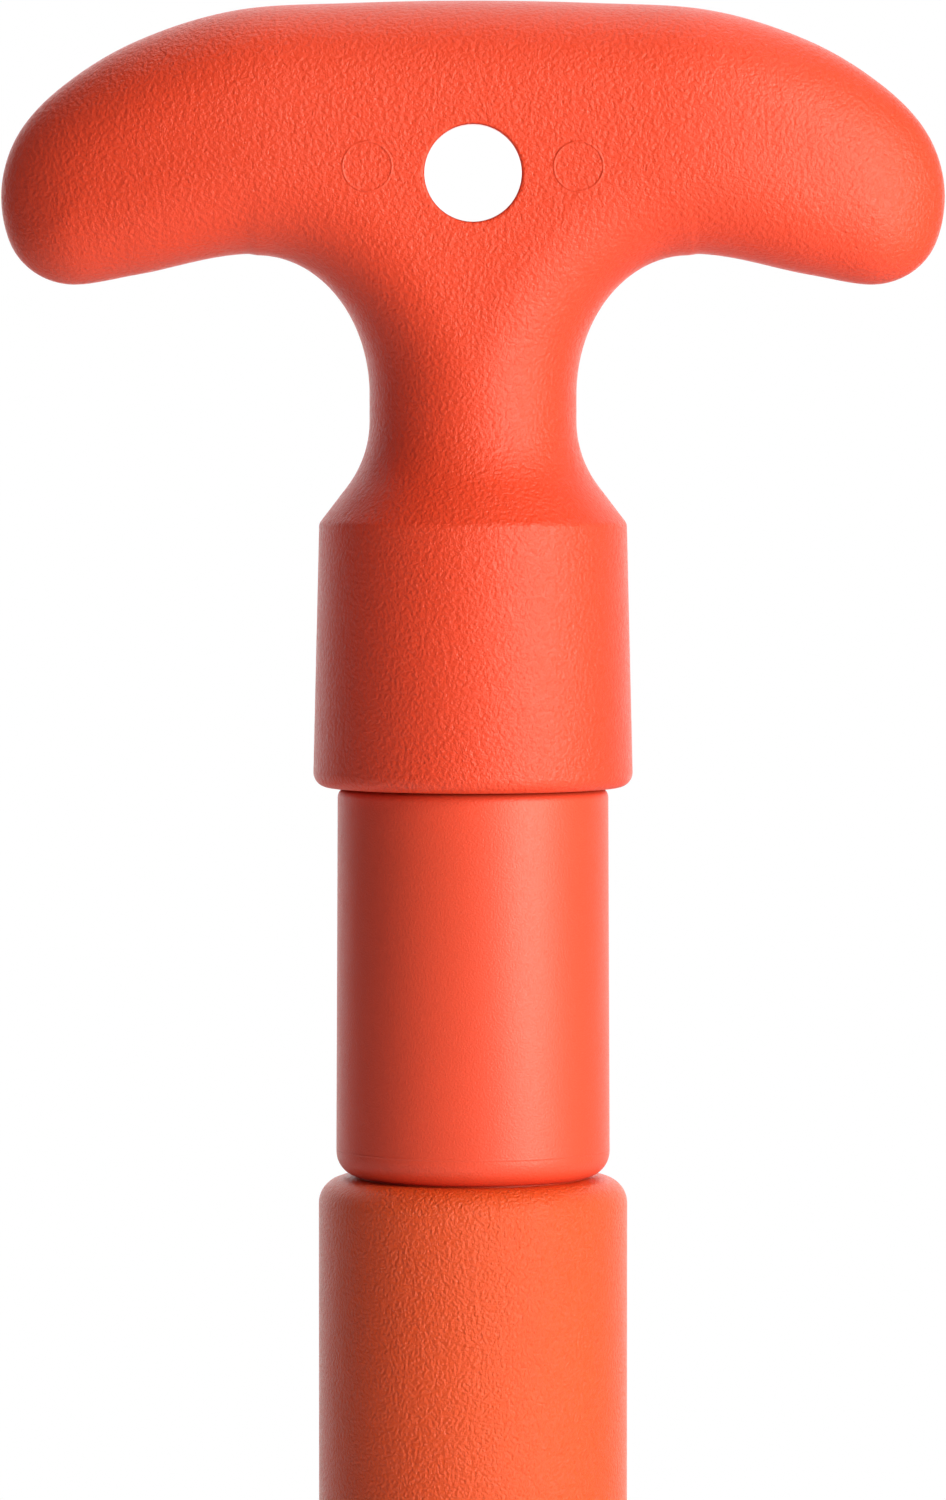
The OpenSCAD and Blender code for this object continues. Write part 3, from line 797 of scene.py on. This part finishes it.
def plain_polymer(name, colour, rough):
    m, tree, shader, place = material(name)
    speckle = noise(tree, place, 1800, 3, 0.6)
    darker = tuple(c * 0.8 for c in colour)
    tree.links.new(ramp(tree, speckle, [(0.3, darker), (0.7, colour)]), shader.inputs["Base Color"])
    tree.links.new(remap(tree, speckle, 0.3, 0.7, rough - 0.06, rough + 0.08), shader.inputs["Roughness"])
    bump(tree, shader, [(speckle, 0.00004, 0.8)])
    return m


# Each mark: its kind, its place and width in metres, and its height
GRIP_MARKS = [
    (ring_mark, ((0.0133, 0.0008), 0.0031, 0.0002), 0.00009),
    (line_mark, ("Y", 0, 0.00015), 0.00010),
]
SLEEVE_MARKS = [(line_mark, ("Z", -0.1242, 0.00018), 0.00005)]
MATERIALS = {
    "orange_grip": orange_plastic(
        "grip_orange", (0.84, 0.062, 0.018), 0.38, 1900, 0.00023, 0.00008, marks=GRIP_MARKS, bore=0.00612
    ),
    "orange_sleeve": orange_plastic(
        "sleeve_orange", (0.83, 0.078, 0.032), 0.44, 4200, 0.00006, 0.00001, marks=SLEEVE_MARKS
    ),
    "orange_tube": orange_plastic("tube_orange", (0.86, 0.090, 0.014), 0.34, 2400, 0.00034, 0.00010),
    "orange_blade": orange_plastic("blade_orange", (0.86, 0.086, 0.011), 0.42, 1900, 0.00008, 0.00002),
    "aluminium": metal("anodised_aluminium", (0.80, 0.81, 0.82), 0.32),
    "steel": metal("stainless_steel", (0.62, 0.62, 0.63), 0.30, along=(1, 1, 1), scale=2500),
    "grey_nylon": plain_polymer("grey_nylon", (0.045, 0.045, 0.05), 0.5),
    "white_acetal": plain_polymer("white_acetal", (0.80, 0.80, 0.77), 0.38),
    "black_rubber": plain_polymer("black_rubber", (0.012, 0.012, 0.013), 0.62),
}


def dress(piece, slot):
    piece.data.materials.clear()
    piece.data.materials.append(MATERIALS[slot])


grip = build_grip()
sleeve = build_sleeve()
tube = build_lower_tube()
blade = build_blade()
pieces = ((grip, "orange_grip"), (sleeve, "orange_sleeve"), (tube, "orange_tube"), (blade, "orange_blade"))
for piece, slot in pieces:
    shade(piece)
    dress(piece, slot)
for part in frame["record"]["subparts"]:
    node = frame["nodes"][part["node"]]
    for i in range(len(node.material_slots)):
        node.material_slots[i].material = MATERIALS[part["material_slot"]]

# ---------------------------------------------------------------- studio


def area_light(name, at, towards, size, power, colour):
    data = bpy.data.lights.new(name, "AREA")
    data.shape = "RECTANGLE"
    data.size, data.size_y = size
    data.energy = power
    data.color = colour
    light = bpy.data.objects.new(name, data)
    light.location = at
    light.rotation_euler = (Vector(towards) - Vector(at)).to_track_quat("-Z", "Y").to_euler()
    bpy.context.scene.collection.objects.link(light)


WORLD_FRONT = (0.19, 0.15, 0.165)
WORLD_BACK = (1.6, 1.6, 1.6)
FLOOR_DROP = 0.17
FLOOR_R = 3.6
PAPER_DARK = (0.84, 0.84, 0.84)
PAPER_LIGHT = (0.88, 0.88, 0.88)


def studio_world():
    """White to the camera; as a light it is bright behind the shovel and dim in front."""
    world = bpy.data.worlds.new("studio")
    world.use_nodes = True
    tree = world.node_tree
    tree.nodes.clear()
    out = tree.nodes.new("ShaderNodeOutputWorld")
    seen = tree.nodes.new("ShaderNodeBackground")
    seen.inputs["Color"].default_value = (1, 1, 1, 1)
    lit = tree.nodes.new("ShaderNodeBackground")
    place = tree.nodes.new("ShaderNodeTexCoord")
    split = tree.nodes.new("ShaderNodeSeparateXYZ")
    tree.links.new(place.outputs["Generated"], split.inputs["Vector"])
    depth = remap(tree, split.outputs["Y"], -1, 1, 0, 1)
    fade = ramp(tree, depth, [(0.80, WORLD_FRONT), (0.93, WORLD_BACK)])
    tree.links.new(fade, lit.inputs["Color"])
    lit.inputs["Strength"].default_value = 1.0
    path = tree.nodes.new("ShaderNodeLightPath")
    mix = tree.nodes.new("ShaderNodeMixShader")
    tree.links.new(path.outputs["Is Camera Ray"], mix.inputs["Fac"])
    tree.links.new(lit.outputs["Background"], mix.inputs[1])
    tree.links.new(seen.outputs["Background"], mix.inputs[2])
    tree.links.new(mix.outputs["Shader"], out.inputs["Surface"])
    bpy.context.scene.world = world


def studio_floor():
    """A pale round of paper under the shovel."""
    rim = [(x, y, CAD_BOX[0][2] - FLOOR_DROP) for x, y in arc(0, 0, FLOOR_R, 0, 357.5, 143)]
    mesh = bpy.data.meshes.new("floor")
    mesh.from_pydata(rim, [], [tuple(range(len(rim)))])
    floor = bpy.data.objects.new("floor", mesh)
    bpy.context.scene.collection.objects.link(floor)
    m, tree, shader, place = material("floor_paper")
    paper = noise(tree, place, 300, 3)
    tree.links.new(ramp(tree, paper, [(0.3, PAPER_DARK), (0.7, PAPER_LIGHT)]), shader.inputs["Base Color"])
    shader.inputs["Roughness"].default_value = 0.8
    shader.inputs["Emission Color"].default_value = (1, 1, 1, 1)
    shader.inputs["Emission Strength"].default_value = 0.1
    mesh.materials.append(m)


studio_world()
studio_floor()
TARGET = (0, 0, -0.07)
area_light("key", (0.82, -0.74, 0.10), TARGET, (0.58, 1.1), 20.5, (1.0, 0.98, 0.86))
area_light("top", (0, 0.34, 0.80), TARGET, (0.9, 0.5), 3.5, (1.0, 0.99, 0.92))

CAMERA_AWAY = 1.0
CAMERA_Z = -0.03
AIM_Z = -0.0732
LENS = 188.0
camera_data = bpy.data.cameras.new("camera")
camera_data.lens = LENS * CAMERA_AWAY
camera_data.sensor_width = 36
camera_data.clip_start = 0.01
camera = bpy.data.objects.new("camera", camera_data)
camera.location = (0, -CAMERA_AWAY, CAMERA_Z)
camera.rotation_euler = (math.radians(90) - math.atan((CAMERA_Z - AIM_Z) / CAMERA_AWAY), 0, 0)
bpy.context.scene.collection.objects.link(camera)
bpy.context.scene.camera = camera
bpy.context.scene.view_settings.view_transform = "Standard"
bpy.context.scene.view_settings.look = "None"
